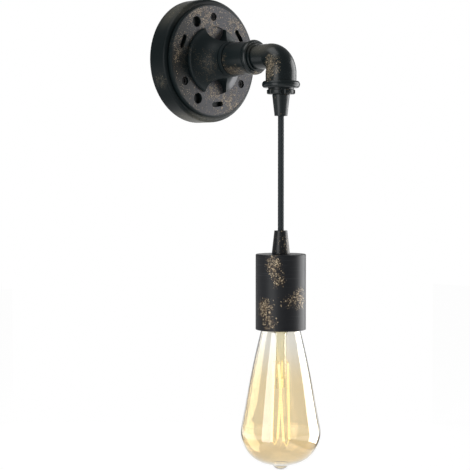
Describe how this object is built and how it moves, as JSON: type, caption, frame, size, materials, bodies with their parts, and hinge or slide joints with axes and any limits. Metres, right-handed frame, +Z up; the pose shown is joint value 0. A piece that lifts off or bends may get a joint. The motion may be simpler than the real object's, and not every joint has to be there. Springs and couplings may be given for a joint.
{
  "type": "wall light",
  "caption": "Pipe-fitting wall light: round canopy with a bell flange, short horizontal arm with an elbow, and a cup lampholder with a squirrel-cage bulb hung on a cord.",
  "frame": {"origin": "centre of the wall screws' slots on the wall plane, on the axis of the arm", "axes": "+Y into the wall, the arm points along -Y; +Z up; +X to the right as seen by someone who faces the wall"},
  "size_m": [0.1026, 0.1327, 0.3831],
  "materials": {
    "canopy_paint": "satin black paint with antique bronze speckle",
    "flange_iron": "cast, dark grey-brown antique finish",
    "pipe_iron": "turned and cast, antique black with bronze speckle",
    "cup_paint": "brushed, satin black with bronze speckle",
    "screw_steel": "dark plated steel",
    "zinc_steel": "zinc plated",
    "brass": "plain brass",
    "block_plastic": "moulded, off white",
    "live_insulation": "brown insulation",
    "neutral_insulation": "blue insulation",
    "earth_insulation": "green and yellow insulation",
    "cord_cloth": "black braided cloth over rubber",
    "copper_cores": "stranded copper",
    "holder_insulator": "black moulding",
    "shell_metal": "nickel plated",
    "cap_metal": "pressed, satin",
    "cap_glass": "black vitreous insulator",
    "solder": "tinned",
    "board": "driver board",
    "amber_glass": "clear blown glass with an amber tint",
    "clear_glass": "clear glass",
    "filament": "yellow coated strip, lit",
    "lead_wire": "bright wire"
  },
  "bodies": {
    "wall_arm": {"mounting_plate": "zinc_steel", "threaded_posts": "zinc_steel", "canopy": "canopy_paint", "wall_flange": "flange_iron", "cover_screws": "screw_steel", "terminal_block": "block_plastic", "terminal_tubes": "brass", "clamp_screws": "zinc_steel", "block_screw": "zinc_steel", "earth_screw": "brass", "earth_tag": "zinc_steel", "live_conductor": "live_insulation", "neutral_conductor": "neutral_insulation", "earth_conductor": "earth_insulation", "arm_nipple": "zinc_steel", "rear_washer": "zinc_steel", "rear_locknut": "zinc_steel", "coupling_sleeve": "pipe_iron", "elbow": "pipe_iron", "castellated_bush": "pipe_iron", "upper_cord_grip": "pipe_iron", "upper_grip_screw": "screw_steel", "inner_lead": "cord_cloth"},
    "cord_bend": {"cord_bend_core": "copper_cores"},
    "pendant": {"cord": "cord_cloth", "cord_tail": "cord_cloth", "lower_cord_grip": "cup_paint", "lower_grip_screw": "screw_steel", "lampholder_cup": "cup_paint", "hollow_stem": "zinc_steel", "cup_nut": "zinc_steel", "holder_dome": "holder_insulator", "holder_base": "holder_insulator", "holder_skirt": "holder_insulator", "screw_shell": "shell_metal", "centre_contact": "brass", "side_contact": "brass", "holder_screws": "brass", "live_tail": "live_insulation", "neutral_tail": "neutral_insulation"},
    "bulb": {"cap_shell": "cap_metal", "cap_insulator": "cap_glass", "cap_contact": "solder", "driver_board": "board", "glass_envelope": "amber_glass", "stem_glass": "clear_glass", "support_wires": "lead_wire", "filaments": "filament"}
  },
  "joints": [
    {"name": "swing_fore_aft", "type": "hinge", "parent": "wall_arm", "child": "cord_bend", "pos_m": [0, -0.1007, -0.0462], "axis": [1, 0, 0], "range_deg": [-20, 12]},
    {"name": "swing_side", "type": "hinge", "parent": "cord_bend", "child": "pendant", "pos_m": [0, -0.1007, -0.0462], "axis": [0, 1, 0], "range_deg": [-20, 20]},
    {"name": "bulb_out", "type": "slide", "parent": "pendant", "child": "bulb", "axis": [0, 0, -1], "range_m": [0, 0.035]}
  ]
}
